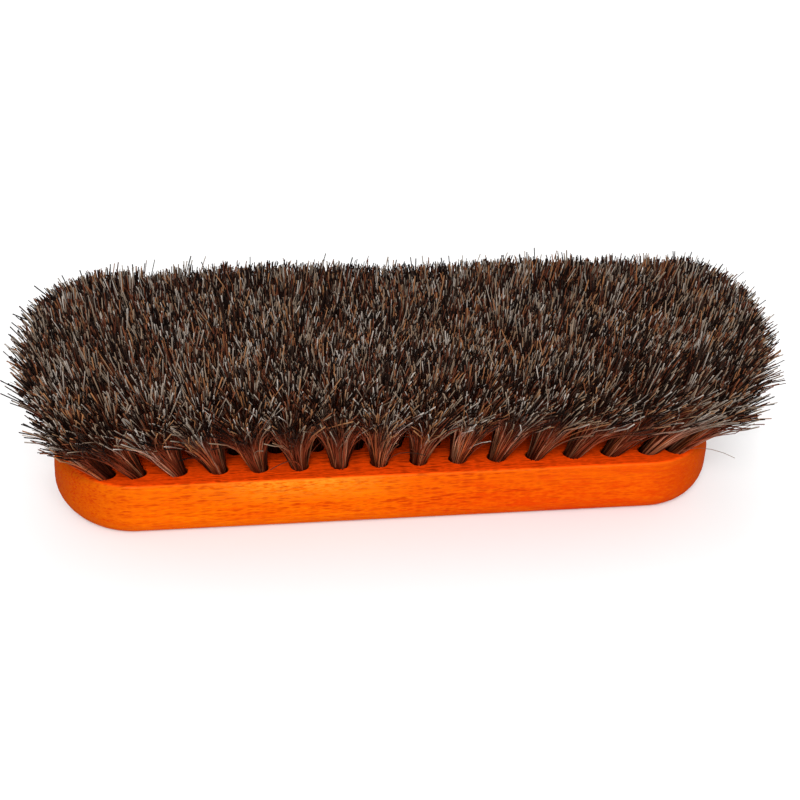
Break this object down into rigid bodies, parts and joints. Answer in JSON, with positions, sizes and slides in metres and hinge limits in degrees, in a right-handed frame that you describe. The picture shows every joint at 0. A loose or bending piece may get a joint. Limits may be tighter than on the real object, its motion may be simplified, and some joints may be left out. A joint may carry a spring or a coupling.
{
  "type": "shoe shine brush",
  "caption": "Oblong lacquered wooden block with a flat back and staggered rows of drilled holes, each holding a stapled tuft of mixed horsehair, for buffing shoes.",
  "frame": {"origin": "centre of the block's flat back, on the surface that the brush lies on", "axes": "+X along the brush, +Y across it towards its far side, +Z from the flat back towards the bristle tips"},
  "size_m": [0.194, 0.0714, 0.0489],
  "materials": {
    "lacquered_wood": "clear lacquer, satin gloss",
    "horsehair": "natural mixed hair, slight sheen",
    "staple_wire": "bright drawn wire"
  },
  "bodies": {
    "root": {"wooden_block": "lacquered_wood", "front_tufts": "horsehair", "second_tufts": "horsehair", "middle_tufts": "horsehair", "fourth_tufts": "horsehair", "back_tufts": "horsehair", "front_staples": "staple_wire", "second_staples": "staple_wire", "middle_staples": "staple_wire", "fourth_staples": "staple_wire", "back_staples": "staple_wire"}
  },
  "joints": []
}
